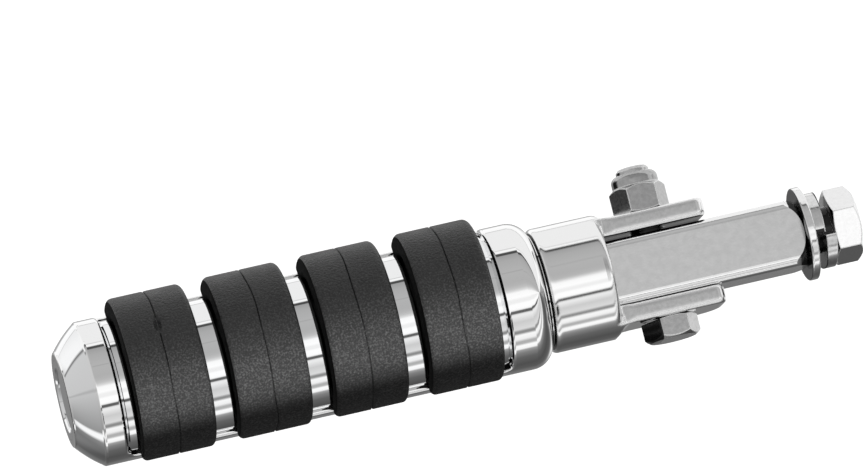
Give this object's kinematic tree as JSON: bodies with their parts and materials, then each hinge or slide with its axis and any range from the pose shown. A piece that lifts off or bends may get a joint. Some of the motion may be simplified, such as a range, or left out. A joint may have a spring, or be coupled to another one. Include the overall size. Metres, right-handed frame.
{
  "type": "motorcycle highway peg",
  "caption": "Chromed foot peg with rubber tread bands on a folding clevis, carried by a square bar that bolts to a bracket through its end.",
  "frame": {"origin": "centre of the bar's bolted end face, on the mounting bolt's axis", "axes": "+X out of the bar's end towards the bracket and along the bolt, the peg pointing to -X; +Z the side that the foot rests on; the fold's pivot is along Y"},
  "size_m": [0.2332, 0.0516, 0.0508],
  "materials": {
    "chrome": "mirror chrome plate",
    "satin_zinc": "satin plated steel bar",
    "bright_zinc": "bright zinc plated fasteners",
    "plain_steel": "plain steel, hidden inside",
    "rubber": "moulded charcoal rubber",
    "nylon": "nylon ring"
  },
  "bodies": {
    "bar": {"mount_bar": "satin_zinc", "flat_washer": "bright_zinc", "lock_washer": "bright_zinc", "mounting_bolt": "bright_zinc"},
    "adjuster": {"adjusting_screw": "bright_zinc"},
    "peg": {"peg_shell": "chrome", "peg_core": "chrome", "nose_disc": "chrome", "nose_screw": "plain_steel", "clevis": "chrome", "clamp_bolt": "plain_steel", "clamp_washer": "plain_steel", "pivot_bolt": "bright_zinc", "pivot_nut": "bright_zinc", "nut_insert": "nylon", "rubber_band_1": "rubber", "rubber_band_2": "rubber", "rubber_band_3": "rubber", "rubber_band_4": "rubber"}
  },
  "joints": [
    {"name": "peg_fold", "type": "hinge", "parent": "bar", "child": "peg", "pos_m": [-0.0427, 0, 0], "axis": [0, 1, 0], "range_deg": [0, 90]},
    {"name": "adjuster_travel", "type": "slide", "parent": "bar", "child": "adjuster", "axis": [0.1392, 0, -0.9903], "range_m": [0, 0.004]}
  ]
}
